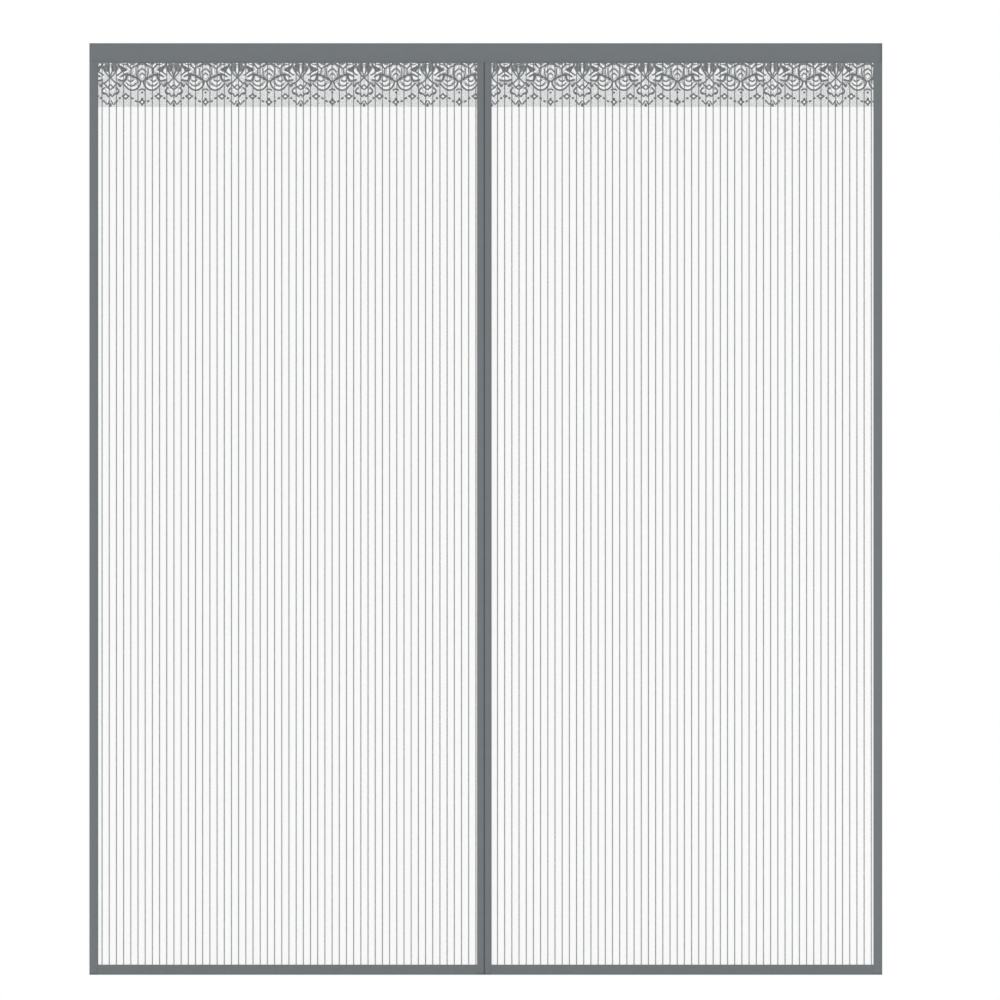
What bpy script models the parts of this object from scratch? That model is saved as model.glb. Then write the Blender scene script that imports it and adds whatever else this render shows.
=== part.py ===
"""Magnetic insect screen for a door: two net panels that meet in the middle.

One folded tape, the header, carries both panels. Folded tapes bind their outer sides and their
bottoms. The two closing edges run in folded sleeves with bar magnets inside. A lace border hangs
from the header's fold in front of the net. Loop tape sewn to the back of the border holds on to
self-adhesive hook tape, which sticks to the door frame.

Metres, +Z up. The front faces -Y. The origin is the middle of the header's adhesive face, so
Y = 0 is the face of the door frame.
"""

import math

import bmesh
import bpy

# The closed screen, outside its border
SCREEN_WIDTH = 1.800
SCREEN_HEIGHT = 2.115

# Where the two closing edges meet, measured from the middle of the screen
MEETING_LINE = -0.0034
CLOSING_GAP = 0.0006

# Visible widths of the folded border tapes
HEADER_HEIGHT = 0.0435
BINDING_WIDTH = 0.0200
SLEEVE_WIDTH = 0.0162
HEM_HEIGHT = 0.0230

# Thickness of each layer, and the clearance between neighbouring layers
CLEARANCE = 0.0003
TAPE_THICKNESS = 0.0006
STRIPE_THICKNESS = 0.0006
NET_THICKNESS = 0.0003
LACE_THICKNESS = 0.0005
LOOP_TAPE_THICKNESS = 0.0010
HOOK_TAPE_THICKNESS = 0.0010
FOLD_STEPS = 6

# Stripes woven into the net
STRIPE_PITCH = 0.01632
STRIPE_WIDTH = 0.0021
STRIPE_MARGIN = 0.0025
FIRST_STRIPE_LEFT = 0.0088
FIRST_STRIPE_RIGHT = 0.0134
WEFT_HEIGHT = 0.0016

# Hook and loop tapes at the back
HEADER_FASTENER_WIDTH = 0.0250
SIDE_FASTENER_WIDTH = 0.0160
FASTENER_END_MARGIN = 0.0020

# Bar magnets in the sleeves
MAGNET_COUNT = 13
MAGNET_WIDTH = 0.0090
MAGNET_LENGTH = 0.0500
MAGNET_END_MARGIN = 0.0300

# Lace border: its repeat, its depth below the header and what is tucked into the header
LACE_REPEAT = 0.1440
LACE_DEPTH = 0.1015
LACE_TUCK = 0.0200
LACE_EDGE = 0.0015
FIRST_FAN_LEFT = 0.0277
FIRST_FAN_RIGHT = 0.0618

# Openwork of the lace, with depths measured down from the header
FAN_DEPTH = 0.0340
FAN_PETAL_START = 0.0085
FAN_PETAL_LENGTH = 0.0170
FAN_PETAL_TURN = math.radians(24)
PETAL_WIDTH = 0.0046
DAISY_SPREAD = 0.0085
DAISY_PETAL_START = 0.0070
DAISY_PETAL_LENGTH = 0.0135
DAISY_PETAL_ANGLES = (math.radians(34), math.radians(-4))
PENDANT_SPREAD = 0.0064
PENDANT_DEPTH = 0.0520
PENDANT_HALF_WIDTH = 0.0042
PENDANT_HALF_HEIGHT = 0.0080
RING_SPREAD = 0.0224
RING_DEPTH = 0.0460
RING_RADIUS = 0.0184
RING_CORD = 0.0022
SHELL_BOWS = 2
BOW_WIDTH = 0.0036
BOW_SPREAD = math.radians(230)
BOW_STEPS = 5
EYE_STEPS = 6
DROP_DEPTH = 0.0210
DROP_HALF_WIDTH = 0.0046
DROP_HALF_HEIGHT = 0.0130
GARLAND_SPREAD = 0.0361
GARLAND_HIGH = 0.0772
GARLAND_LOW = 0.0895
GARLAND_DIAMOND = 0.0044

# Layers from the door frame forward
HOOK_FRONT = -HOOK_TAPE_THICKNESS
LOOP_BACK = HOOK_FRONT - CLEARANCE
LOOP_FRONT = LOOP_BACK - LOOP_TAPE_THICKNESS
TAPE_BACK = LOOP_FRONT - CLEARANCE
POCKET_BACK = TAPE_BACK - TAPE_THICKNESS
NET_BACK = POCKET_BACK - CLEARANCE
NET_FRONT = NET_BACK - STRIPE_THICKNESS
LACE_BACK = NET_FRONT - CLEARANCE
LACE_FRONT = LACE_BACK - LACE_THICKNESS
POCKET_FRONT = LACE_FRONT - CLEARANCE
TAPE_FRONT = POCKET_FRONT - TAPE_THICKNESS

# Heights, and how far a fold's round reaches into the border
TOP = HEADER_HEIGHT / 2
BOTTOM = TOP - SCREEN_HEIGHT
HEADER_BOTTOM = TOP - HEADER_HEIGHT
FOLD_DEPTH = (TAPE_BACK - TAPE_FRONT) / 2
POCKET_END = FOLD_DEPTH + CLEARANCE

LEFT = -1
RIGHT = 1
SIDES = {"left": LEFT, "right": RIGHT}
FIRST_STRIPE = {LEFT: FIRST_STRIPE_LEFT, RIGHT: FIRST_STRIPE_RIGHT}
FIRST_FAN = {LEFT: FIRST_FAN_LEFT, RIGHT: FIRST_FAN_RIGHT}


def outer_edge(side):
    """X of a panel's outer edge."""
    return side * SCREEN_WIDTH / 2


def closing_edge(side):
    """X of a panel's edge in the middle of the screen."""
    return MEETING_LINE + side * CLOSING_GAP / 2


def open_width(side):
    """X of the left and of the right end of the net that shows between the tapes."""
    ends = (outer_edge(side) - side * BINDING_WIDTH, closing_edge(side) + side * SLEEVE_WIDTH)
    return min(ends), max(ends)


def cut_width(side):
    """X of the left and of the right edge of a panel's net, inside the tapes' folds."""
    magnet_room = POCKET_END + MAGNET_WIDTH + CLEARANCE
    ends = (outer_edge(side) - side * POCKET_END, closing_edge(side) + side * magnet_room)
    return min(ends), max(ends)


def plain_material(name, color, roughness, metallic=0.0):
    """A Principled material of one colour, given as linear red, green and blue."""
    material = bpy.data.materials.new(name)
    material.use_nodes = True
    shader = material.node_tree.nodes["Principled BSDF"]
    shader.inputs["Base Color"].default_value = (*color, 1.0)
    shader.inputs["Roughness"].default_value = roughness
    shader.inputs["Metallic"].default_value = metallic
    material.diffuse_color = (*color, 1.0)
    return material


def add_object(name, bm, material):
    """An object with the bmesh's faces, turned outwards."""
    bmesh.ops.recalc_face_normals(bm, faces=bm.faces[:])
    mesh = bpy.data.meshes.new(name)
    bm.to_mesh(mesh)
    bm.free()
    mesh.materials.append(material)
    obj = bpy.data.objects.new(name, mesh)
    bpy.context.scene.collection.objects.link(obj)
    return obj


def extrude_loops(name, loops, offset, material):
    """A solid with the flat outline loops[0], less the loops after it, pushed along offset."""
    bm = bmesh.new()
    edges = []
    for loop in loops:
        verts = [bm.verts.new(point) for point in loop]
        edges += [bm.edges.new(pair) for pair in zip(verts, verts[1:] + verts[:1])]
    bmesh.ops.triangle_fill(bm, edges=edges, use_beauty=True)
    pushed = bmesh.ops.extrude_face_region(bm, geom=bm.faces[:])
    verts = [item for item in pushed["geom"] if isinstance(item, bmesh.types.BMVert)]
    bmesh.ops.translate(bm, verts=verts, vec=offset)
    return add_object(name, bm, material)


def box(name, low, high, material):
    """A box between two corners."""
    corners = [(low[0], low[1]), (high[0], low[1]), (high[0], high[1]), (low[0], high[1])]
    loop = [(x, y, low[2]) for x, y in corners]
    return extrude_loops(name, [loop], (0, 0, high[2] - low[2]), material)


def fold_section(width):
    """Section of a tape folded in half, as (distance in from the fold, Y) points."""
    middle = (TAPE_FRONT + TAPE_BACK) / 2
    turns = [math.pi * step / FOLD_STEPS for step in range(FOLD_STEPS + 1)]

    def half_round(radius):
        return [(FOLD_DEPTH - radius * math.sin(turn), middle - radius * math.cos(turn)) for turn in turns]

    outside = [(width, TAPE_FRONT)] + half_round(FOLD_DEPTH) + [(width, TAPE_BACK)]
    inside = [(width, POCKET_FRONT)] + half_round(FOLD_DEPTH - TAPE_THICKNESS) + [(width, POCKET_BACK)]
    return outside + inside[::-1]


def upright_tape(name, fold_x, inward, width, material):
    """A folded tape that stands along a side edge, from the header to the bottom."""
    top = HEADER_BOTTOM - CLEARANCE
    loop = [(fold_x + inward * across, y, BOTTOM) for across, y in fold_section(width)]
    return extrude_loops(name, [loop], (0, 0, top - BOTTOM), material)


def level_tape(name, ends, fold_z, inward, width, material):
    """A folded tape that lies along a top or bottom edge."""
    loop = [(ends[0], y, fold_z + inward * across) for across, y in fold_section(width)]
    return extrude_loops(name, [loop], (ends[1] - ends[0], 0, 0), material)


def border_tapes(material):
    """The header over both panels, and each panel's binding, sleeve and hem."""
    level_tape("header_band", (outer_edge(LEFT), outer_edge(RIGHT)), TOP, -1, HEADER_HEIGHT, material)
    for word, side in SIDES.items():
        upright_tape(f"side_binding_{word}", outer_edge(side), -side, BINDING_WIDTH, material)
        upright_tape(f"magnet_sleeve_{word}", closing_edge(side), side, SLEEVE_WIDTH, material)
        left, right = open_width(side)
        ends = (left + CLEARANCE, right - CLEARANCE)
        level_tape(f"bottom_hem_{word}", ends, BOTTOM, 1, HEM_HEIGHT, material)


def stripe_places(side):
    """X of the middle of each stripe of a panel."""
    left, right = open_width(side)
    room = right - STRIPE_MARGIN - left - FIRST_STRIPE[side]
    count = int(room / STRIPE_PITCH) + 1
    return [left + FIRST_STRIPE[side] + index * STRIPE_PITCH for index in range(count)]


def rectangle(left, right, bottom, top, y):
    """Corners of an upright rectangle that faces the front."""
    return [(left, y, bottom), (right, y, bottom), (right, y, top), (left, y, top)]


def mesh_panel(name, side, material):
    """One panel's net: a wall with a gap on each side of every stripe.

    The stripes stand proud of the finer weft that crosses them under the lace.
    """
    left, right = cut_width(side)
    top = TOP - POCKET_END
    bottom = BOTTOM + POCKET_END
    gap_top = HEADER_BOTTOM
    gap_bottom = BOTTOM + HEM_HEIGHT
    shown_left, shown_right = open_width(side)
    gap_left = shown_left
    loops = [rectangle(left, right, bottom, top, NET_FRONT)]
    for place in stripe_places(side):
        gap_right = place - STRIPE_WIDTH / 2
        loops.append(rectangle(gap_left, gap_right, gap_bottom, gap_top, NET_FRONT))
        gap_left = place + STRIPE_WIDTH / 2
    loops.append(rectangle(gap_left, shown_right, gap_bottom, gap_top, NET_FRONT))
    panel = extrude_loops(name, loops, (0, NET_BACK - NET_FRONT, 0), material)

    weft_front = (NET_FRONT + NET_BACK - NET_THICKNESS) / 2
    weft_bottom = HEADER_BOTTOM - LACE_DEPTH
    low = ((left + shown_left) / 2, weft_front, weft_bottom)
    high = ((right + shown_right) / 2, weft_front + NET_THICKNESS, weft_bottom + WEFT_HEIGHT)
    weft = box(f"{name}_weft_guide", low, high, material)
    weft.hide_render = True
    weft.display_type = "WIRE"
    union = panel.modifiers.new("Weft", "BOOLEAN")
    union.operation = "UNION"
    union.solver = "EXACT"
    union.object = weft


def petal(root, angle, start, length, width):
    """A pointed petal that leaves its root at an angle from straight out, as (across, depth) points."""
    shape = [(0, 0), (0.55, -0.5), (0.9, -0.3), (0.9, 0.3), (0.55, 0.5)]
    points = []
    for along, aside in shape:
        out = start + along * length
        shift = aside * width
        across = root[0] + out * math.cos(angle) + shift * math.sin(angle)
        depth = root[1] - out * math.sin(angle) + shift * math.cos(angle)
        points.append((across, depth))
    return points


def diamond(middle, half_width, half_height):
    """A diamond as (across, depth) points."""
    across, depth = middle
    return [
        (across, depth - half_height),
        (across + half_width, depth),
        (across, depth + half_height),
        (across - half_width, depth),
    ]


def bow(top, outer, inner):
    """A bow between two circles that hang from one point, open at the top, as (across, depth) points."""
    turns = [BOW_SPREAD * (step / BOW_STEPS - 0.5) for step in range(BOW_STEPS + 1)]
    across, depth = top

    def hang(radius):
        return [(across + radius * math.sin(turn), depth + radius * (1 + math.cos(turn))) for turn in turns]

    return hang(outer) + hang(inner)[::-1]


def shell_gaps(middle):
    """Openings inside a ring: bows that hang one inside the other, and a small eye at their root."""
    inside = RING_RADIUS - RING_CORD / 2
    gaps = []
    for level in range(SHELL_BOWS):
        top = (middle[0], middle[1] - inside + level * RING_CORD)
        outer = inside - level * (BOW_WIDTH + RING_CORD)
        gaps.append(bow(top, outer, outer - BOW_WIDTH))
    eye = inside - SHELL_BOWS * (BOW_WIDTH + RING_CORD)
    depth = middle[1] - inside + SHELL_BOWS * RING_CORD + eye
    turns = [math.tau * step / EYE_STEPS for step in range(EYE_STEPS)]
    gaps.append([(middle[0] + eye * math.cos(turn), depth + eye * math.sin(turn)) for turn in turns])
    return gaps


def fan_gaps():
    """Openings about a fan's axis: three fan petals, two half daisies, a pendant and two diamonds."""
    root = (0, FAN_DEPTH)
    upright = math.pi / 2
    gaps = []
    for turn in (-FAN_PETAL_TURN, 0, FAN_PETAL_TURN):
        gaps.append(petal(root, upright + turn, FAN_PETAL_START, FAN_PETAL_LENGTH, PETAL_WIDTH))
    for side in SIDES.values():
        daisy = (side * DAISY_SPREAD, FAN_DEPTH)
        for angle in DAISY_PETAL_ANGLES:
            turned = angle if side == RIGHT else math.pi - angle
            gaps.append(petal(daisy, turned, DAISY_PETAL_START, DAISY_PETAL_LENGTH, PETAL_WIDTH))
        pendant = (side * PENDANT_SPREAD, PENDANT_DEPTH)
        gaps.append(diamond(pendant, PENDANT_HALF_WIDTH, PENDANT_HALF_HEIGHT))
        garland = (side * GARLAND_SPREAD, GARLAND_HIGH)
        gaps.append(diamond(garland, GARLAND_DIAMOND, GARLAND_DIAMOND))
    return gaps


def ring_gaps():
    """Openings about the axis between two fans: twin rings of shells, a drop and a diamond."""
    gaps = [
        diamond((0, DROP_DEPTH), DROP_HALF_WIDTH, DROP_HALF_HEIGHT),
        diamond((0, GARLAND_LOW), GARLAND_DIAMOND, GARLAND_DIAMOND),
    ]
    for side in SIDES.values():
        gaps += shell_gaps((side * RING_SPREAD, RING_DEPTH))
    return gaps


def lace_trim(name, side, material):
    """One lace border: a wall with the openwork of as many repeats as show between the tapes."""
    left, right = cut_width(side)
    shown_left, shown_right = open_width(side)
    loops = [rectangle(left, right, HEADER_BOTTOM - LACE_DEPTH, HEADER_BOTTOM + LACE_TUCK, LACE_FRONT)]
    repeats = int(SCREEN_WIDTH / LACE_REPEAT)
    for index in range(-1, repeats):
        fan_axis = shown_left + FIRST_FAN[side] + index * LACE_REPEAT
        placed = [(fan_axis, gap) for gap in fan_gaps()]
        placed += [(fan_axis + LACE_REPEAT / 2, gap) for gap in ring_gaps()]
        for axis, gap in placed:
            across = [axis + point[0] for point in gap]
            depths = [point[1] for point in gap]
            if min(across) < shown_left + LACE_EDGE or max(across) > shown_right - LACE_EDGE:
                continue
            loops.append([(x, LACE_FRONT, HEADER_BOTTOM - depth) for x, depth in zip(across, depths)])
    extrude_loops(name, loops, (0, LACE_BACK - LACE_FRONT, 0), material)


def magnets(side, word, material):
    """The bar magnets of one sleeve, evenly spaced, between its fold and the net's edge."""
    ends = (closing_edge(side) + side * POCKET_END, closing_edge(side) + side * (POCKET_END + MAGNET_WIDTH))
    first = HEADER_BOTTOM - MAGNET_END_MARGIN - MAGNET_LENGTH / 2
    last = BOTTOM + MAGNET_END_MARGIN + MAGNET_LENGTH / 2
    for index in range(MAGNET_COUNT):
        middle = first + (last - first) * index / (MAGNET_COUNT - 1)
        low = (min(ends), POCKET_FRONT + CLEARANCE, middle - MAGNET_LENGTH / 2)
        high = (max(ends), POCKET_BACK - CLEARANCE, middle + MAGNET_LENGTH / 2)
        box(f"magnet_{word}_{index + 1:02d}", low, high, material)


def fasteners(kind, front, back, material):
    """The hook tapes or the loop tapes: one behind the header and one behind each binding."""
    half_width = SCREEN_WIDTH / 2 - FASTENER_END_MARGIN
    half_height = HEADER_FASTENER_WIDTH / 2
    box(f"{kind}_header", (-half_width, front, -half_height), (half_width, back, half_height), material)
    top = HEADER_BOTTOM - CLEARANCE - FASTENER_END_MARGIN
    bottom = BOTTOM + FASTENER_END_MARGIN
    for word, side in SIDES.items():
        middle = outer_edge(side) - side * BINDING_WIDTH / 2
        low = (middle - SIDE_FASTENER_WIDTH / 2, front, bottom)
        high = (middle + SIDE_FASTENER_WIDTH / 2, back, top)
        box(f"{kind}_{word}", low, high, material)


def main():
    for old in list(bpy.data.objects):
        bpy.data.objects.remove(old, do_unlink=True)
    border = plain_material("border_tape", (0.174, 0.191, 0.202), 0.85)
    net = plain_material("striped_net", (0.45, 0.45, 0.45), 0.8)
    lace = plain_material("lace", (0.62, 0.63, 0.64), 0.85)
    magnet = plain_material("magnet", (0.05, 0.05, 0.055), 0.45, 0.6)
    loop = plain_material("loop_tape", (0.13, 0.14, 0.15), 0.95)
    hook = plain_material("hook_tape", (0.06, 0.065, 0.07), 0.6)

    border_tapes(border)
    for word, side in SIDES.items():
        mesh_panel(f"mesh_panel_{word}", side, net)
        lace_trim(f"lace_trim_{word}", side, lace)
        magnets(side, word, magnet)
    fasteners("loop_tape", LOOP_FRONT, LOOP_BACK, loop)
    fasteners("hook_tape", HOOK_FRONT, 0, hook)


main()
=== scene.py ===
"""Looks of the magnetic insect screen: woven tapes, stitching, striped net, lace and fasteners.

Metres, +Z up, front towards -Y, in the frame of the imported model. Lace sizes are in millimetres.
"""

import math

import bmesh
import bpy
import numpy as np
from mathutils import Matrix, Vector


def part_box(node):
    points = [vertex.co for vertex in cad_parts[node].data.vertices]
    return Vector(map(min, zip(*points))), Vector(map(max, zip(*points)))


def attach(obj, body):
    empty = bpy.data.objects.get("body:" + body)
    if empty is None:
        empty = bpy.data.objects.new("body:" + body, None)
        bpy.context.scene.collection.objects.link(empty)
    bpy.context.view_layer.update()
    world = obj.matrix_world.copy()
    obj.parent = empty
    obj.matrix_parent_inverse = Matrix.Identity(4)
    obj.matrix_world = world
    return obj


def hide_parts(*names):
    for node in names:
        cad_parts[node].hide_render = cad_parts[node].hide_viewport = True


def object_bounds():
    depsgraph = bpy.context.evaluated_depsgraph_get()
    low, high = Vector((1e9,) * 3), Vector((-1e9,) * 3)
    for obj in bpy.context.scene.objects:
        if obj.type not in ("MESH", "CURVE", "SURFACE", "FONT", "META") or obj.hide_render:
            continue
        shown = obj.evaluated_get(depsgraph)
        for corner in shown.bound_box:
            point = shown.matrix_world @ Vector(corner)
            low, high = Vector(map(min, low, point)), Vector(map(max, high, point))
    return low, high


bl_info = {
    "name": "Magnetic insect screen",
    "version": (1, 0, 0),
    "blender": (4, 5, 0),
    "location": "View3D > Sidebar > Insect Screen",
    "description": "Builds the cloth, lace, net and fasteners of a split door screen",
    "category": "Add Mesh",
}

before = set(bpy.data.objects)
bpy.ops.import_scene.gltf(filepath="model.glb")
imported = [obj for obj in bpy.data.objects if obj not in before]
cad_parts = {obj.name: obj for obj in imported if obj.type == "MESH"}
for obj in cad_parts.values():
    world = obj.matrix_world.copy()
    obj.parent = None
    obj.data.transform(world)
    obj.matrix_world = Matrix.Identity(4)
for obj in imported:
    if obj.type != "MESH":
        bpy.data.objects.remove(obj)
CAD_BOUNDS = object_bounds()

MM = 0.001
SIDES = {"left": -1, "right": 1}

# Mesh of the tapes: its steps along a tape and round a fold, and where its shading breaks
TAPE_STEP = 0.008
FOLD_STEPS = 8
SHARP_ANGLE = math.radians(50)

# Long and short wave of the sewn tape and the shift between them, and the round of a turned-in edge
# against the tape's thickness
PUCKER_LONG = 0.043
PUCKER_SHORT = 0.0173
PUCKER_SHIFT = 1.0
TURN_ROUND = 0.55

# How flat a tape's ends are pressed, and how far from the end that starts
TUCKED_PRESS = 0.78
TUCKED_START = 0.001
CLOSED_PRESS = 0.6
CLOSED_START = 0.0005

# Half length of a stitch against its pitch, and the inner row of stitches beside a level tape's fold
STITCH_FILL = 0.42
OVERCAST_FILL = 0.47
FOLD_SEAM = 0.0015

# Distance between the plies of each yarn. Real plies are too fine to show, so they are drawn coarser
THREAD_TWIST = 0.0006
STRIPE_TWIST = 0.0011
GROUND_TWIST = 0.0005
CORD_TWIST = 0.0012

# How far crossing yarns stand off the middle of the cloth, and how far apart a stripe's yarns lie,
# both against their thickness
YARN_LIFT = 0.25
STRIPE_YARN_SPACING = 1.02
STRIPE_YARN_SIDES = 6

# Rows of hooks, their height, and the half width of a hook's foot against the rows' distance. Real
# hooks are too fine to show, so they are drawn coarser
HOOK_ROWS = 10
HOOK_HEIGHT = 0.0005
HOOK_FOOT = 0.2

# Round of a fastening tape's long edges against its thickness
BAND_ROUND = 0.3

# Camera's distance, where the sun lamps shine from, and how soft they are
CAMERA_DISTANCE = 6.0
KEY_LAMP_FROM = (-1.2, -2.6, 1.8)
REAR_LAMP_FROM = (1.4, 2.4, 1.6)
LAMP_SOFTNESS = math.radians(25)

# Stripes woven into the net, counted from each panel's left end
STRIPE_PITCH = 0.01632
STRIPE_COUNT = 53
FIRST_STRIPE = {"left": 0.0088, "right": 0.0134}

# The lace pattern's repeat. Each panel has one or two cuts of lace: a fan of each cut, and where one
# cut joins the next, both counted from the left end of the net that shows
LACE_REPEAT = 0.1440
LACE_FANS = {"left": (0.0277,), "right": (0.0002, 0.0618)}
LACE_JOINS = {"left": (), "right": (0.0310,)}

# Lace this near to a cut counts as lying on it
CUT_TOLERANCE = 1e-6

# Ground of the lace: crossings along half a repeat, and rows of them tucked into the header and shown
GROUND_LINES = 86
GROUND_ROWS_TUCKED = 14
GROUND_ROWS_SHOWN = 121

# Lines of the lace as (cord width, points), in millimetres: sideways from a fan's axis and down
# from the header. The other half of the repeat mirrors this one.
FAN_LINES = [
    (4.4, [(16.6, 9.2), (14.8, 14.8), (12.4, 20.6)]),
    (3.0, [(12.6, 20.0), (10.4, 23.8), (5.8, 29.6), (0.0, 35.0)]),
    (2.6, [(5.6, 6.0), (5.0, 14.0), (3.2, 23.0), (0.0, 32.0)]),
]
DAISY_LINES = [
    (3.2, [(14.8, 29.2), (19.0, 27.4), (23.4, 24.0), (27.6, 20.6)]),
    (3.8, [(22.6, 33.2), (27.6, 30.0), (33.4, 27.6), (37.4, 26.4), (43.2, 28.6)]),
    (5.2, [(34.0, 28.0), (38.6, 27.6), (43.0, 28.8)]),
    (5.2, [(38.0, 28.2), (36.8, 32.6), (35.2, 37.6), (33.0, 41.4)]),
    (4.0, [(33.6, 42.2), (29.4, 42.2), (22.6, 41.0), (16.8, 39.4)]),
]
LEAF_LINES = [
    (3.6, [(17.6, 5.0), (22.0, 9.6), (28.4, 12.8), (36.8, 16.4)]),
    (3.6, [(17.6, 5.0), (20.8, 10.0), (24.2, 14.6), (26.0, 19.6)]),
    (3.6, [(36.8, 16.6), (32.0, 18.8), (27.4, 20.6)]),
]
ROOT_LINES = [
    (3.0, [(0.0, 34.4), (5.6, 40.6), (11.4, 45.8), (15.8, 47.2), (19.4, 50.4)]),
    (4.6, [(18.4, 48.8), (21.6, 54.4)]),
    (3.6, [(25.2, 50.0), (23.4, 53.0), (21.2, 56.2)]),
    (2.6, [(14.6, 47.6), (10.6, 52.0), (6.4, 57.2)]),
    (2.8, [(0.0, 50.6), (3.6, 53.8), (6.4, 57.0)]),
    (2.8, [(6.4, 57.0), (0.0, 62.2)]),
    (4.4, [(4.4, 57.0), (8.4, 57.2)]),
]
PENDANT_LINES = [
    (3.4, [(12.8, 57.0), (16.8, 60.8), (19.2, 65.4), (17.6, 69.8), (13.8, 72.0), (10.2, 70.2)]),
    (4.4, [(12.2, 71.4), (17.4, 68.6)]),
    (3.2, [(10.2, 70.2), (8.2, 73.4), (4.6, 77.2), (1.8, 75.0), (0.0, 71.8)]),
]
FOOT_LINES = [
    (2.8, [(1.6, 86.4), (4.4, 91.8), (7.4, 95.4), (10.4, 92.2), (14.4, 88.6)]),
    (4.0, [(13.4, 89.2), (16.8, 86.2)]),
    (4.6, [(19.4, 82.8), (23.4, 79.8)]),
    (3.6, [(0.3, 93.2), (1.4, 100.4)]),
]
GARLAND_LINES = [
    (3.2, [(35.0, 70.9), (37.8, 74.4), (42.4, 76.6)]),
    (3.2, [(35.0, 70.9), (32.0, 74.4), (27.2, 76.6)]),
    (3.2, [(27.2, 76.8), (31.2, 79.8), (34.8, 83.4)]),
    (3.2, [(42.4, 76.8), (38.4, 79.8), (34.8, 83.4)]),
    (4.0, [(25.8, 76.8), (30.2, 76.8)]),
    (4.0, [(39.6, 76.8), (44.2, 76.8)]),
    (4.0, [(35.1, 69.8), (35.1, 73.8)]),
    (4.0, [(34.9, 80.2), (34.9, 84.6)]),
    (4.2, [(46.6, 80.5), (52.2, 82.8)]),
    (4.0, [(55.6, 87.2), (61.4, 89.5)]),
    (4.2, [(72.0, 80.8), (72.0, 85.0)]),
    (3.3, [(72.0, 84.0), (69.4, 87.2), (66.4, 90.0)]),
    (4.6, [(64.4, 90.1), (69.0, 90.1)]),
    (3.3, [(66.4, 90.4), (69.0, 92.6), (72.0, 96.0)]),
    (4.0, [(71.4, 94.0), (72.0, 98.4)]),
]
RING_LINES = [
    (3.6, [(27.4, 47.4), (32.8, 52.6), (38.8, 59.0), (44.7, 62.6), (53.7, 62.8), (60.2, 59.8),
           (65.4, 54.2), (68.4, 48.0), (68.6, 43.2), (66.8, 40.6), (61.8, 37.0), (52.4, 32.4),
           (47.0, 29.8), (43.0, 28.4)]),
    (6.4, [(59.0, 35.8), (64.6, 38.4)]),
    (5.8, [(49.6, 31.4), (55.0, 33.4)]),
    (2.8, [(37.4, 47.2), (41.8, 52.0), (48.4, 53.8), (53.8, 51.8), (58.8, 47.4)]),
    (3.0, [(40.2, 40.4), (44.2, 43.0), (48.8, 42.4), (52.8, 39.6)]),
]
CROWN_LINES = [
    (2.8, [(36.4, 2.6), (39.6, 7.4), (44.4, 12.0), (47.8, 13.8), (51.8, 10.8), (59.6, 8.4), (64.4, 4.4),
           (66.8, 2.2)]),
    (4.4, [(58.6, 9.0), (61.6, 7.4)]),
    (2.2, [(46.6, 14.0), (46.4, 19.6), (46.2, 24.4), (44.6, 28.6)]),
    (2.2, [(58.2, 13.4), (58.4, 20.0), (58.8, 26.0), (60.6, 34.0)]),
]
DROP_LINES = [
    (2.4, [(72.0, 14.8), (68.8, 16.2), (65.8, 18.8), (62.4, 22.6)]),
    (2.4, [(72.0, 25.4), (68.6, 26.4), (66.0, 29.8)]),
    (3.8, [(72.0, 42.4), (69.6, 43.0)]),
    (3.4, [(72.0, 60.4), (69.0, 61.4), (65.2, 63.8)]),
    (4.0, [(72.0, 66.8), (72.0, 70.4)]),
]
LACE_LINES = (FAN_LINES + DAISY_LINES + LEAF_LINES + ROOT_LINES + PENDANT_LINES + FOOT_LINES
              + GARLAND_LINES + RING_LINES + CROWN_LINES + DROP_LINES)

# Openings of the lace as (half width, points), where the ground is left out
FAN_OPENINGS = [
    (1.9, [(0.0, 14.2), (0.0, 20.4)]),
    (1.4, [(0.0, 2.8), (1.4, 2.8)]),
    (1.7, [(14.2, 4.2), (14.2, 5.0)]),
]
DAISY_OPENINGS = [
    (2.2, [(16.4, 24.2), (19.4, 20.4), (21.2, 16.6)]),
    (1.3, [(21.0, 29.0), (27.0, 25.0), (33.0, 22.2), (40.6, 19.6)]),
    (1.9, [(25.0, 36.8), (28.4, 36.2), (32.0, 34.8)]),
    (1.3, [(14.4, 33.0), (18.6, 35.2)]),
]
ROOT_OPENINGS = [
    (1.8, [(4.8, 46.2), (6.6, 50.8)]),
    (2.0, [(0.0, 56.6), (0.0, 58.0)]),
    (1.3, [(9.0, 60.4), (4.0, 65.6)]),
    (2.2, [(13.4, 64.2), (13.8, 65.0)]),
    (1.4, [(3.4, 83.2), (7.0, 89.6)]),
]
GARLAND_OPENINGS = [(2.4, [(34.9, 76.9), (34.9, 77.5)]), (2.4, [(72.0, 89.4), (72.0, 90.2)])]
RING_OPENINGS = [
    (2.4, [(43.4, 36.4), (46.4, 37.0)]),
    (1.5, [(38.2, 43.4), (41.2, 46.6), (45.2, 48.2), (50.4, 46.6), (54.6, 43.4), (57.2, 41.2)]),
    (1.8, [(41.8, 55.6), (48.4, 58.6), (54.8, 58.0), (60.4, 54.2), (63.4, 49.0)]),
    (1.2, [(32.0, 47.4), (37.2, 53.2)]),
]
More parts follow.
